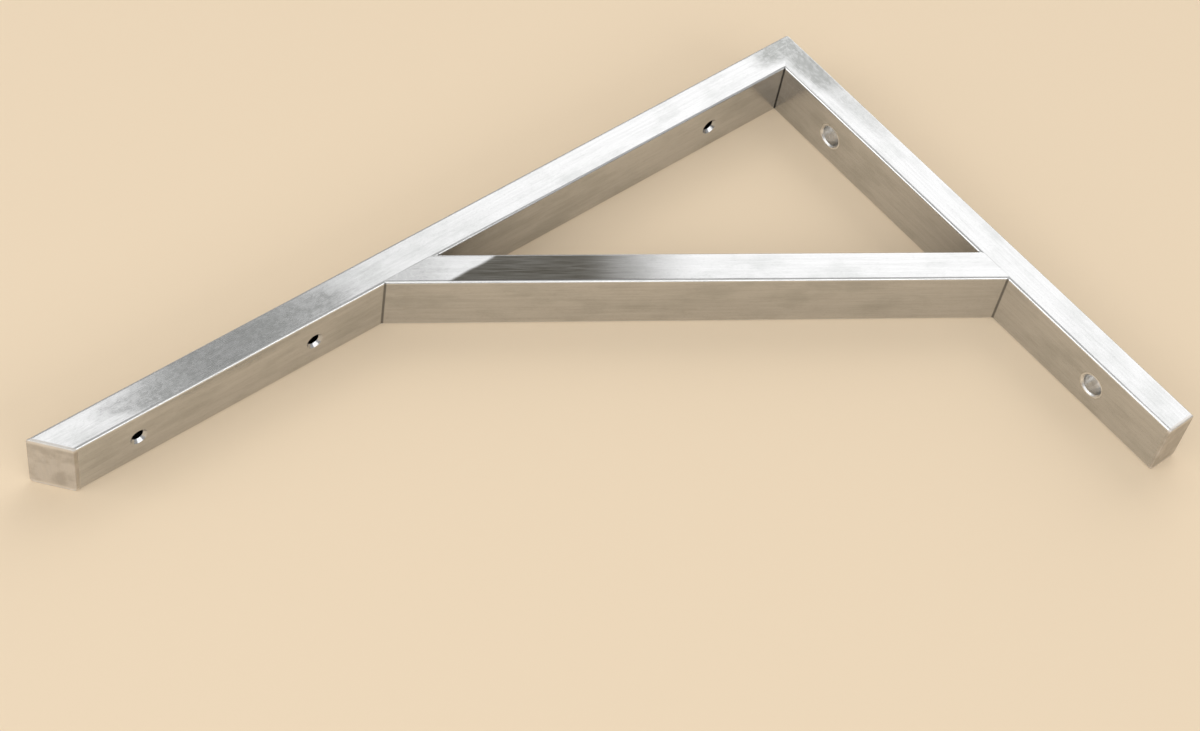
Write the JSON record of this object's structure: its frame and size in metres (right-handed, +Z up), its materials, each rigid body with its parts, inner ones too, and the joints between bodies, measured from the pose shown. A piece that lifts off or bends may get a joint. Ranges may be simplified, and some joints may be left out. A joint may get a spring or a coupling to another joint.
{
  "type": "triangular shelf bracket",
  "caption": "Fixed triangular shelf bracket of welded rectangular steel tube, with a diagonal brace, closed ends, bushed wall bolt holes and countersunk shelf screw holes.",
  "frame": {"origin": "on the wall face, halfway between the two wall bolts, in the middle of the tube's width", "axes": "+X out from the wall along the shelf arm, +Y across the tubes, +Z up; the shelf lies on the shelf arm's top face"},
  "size_m": [0.4493, 0.032, 0.29],
  "materials": {
    "arm_steel": "satin stainless tube, brushed along its length, ground cloudy round the welds",
    "brace_steel": "satin stainless tube, brushed along its length",
    "cap_steel": "matt ground stainless plate",
    "bush_steel": "turned stainless, satin"
  },
  "bodies": {
    "root": {"shelf_arm": "arm_steel", "wall_arm": "arm_steel", "brace": "brace_steel", "nose_cap": "cap_steel", "foot_cap": "cap_steel", "upper_bolt_bush": "bush_steel", "lower_bolt_bush": "bush_steel"}
  },
  "joints": []
}
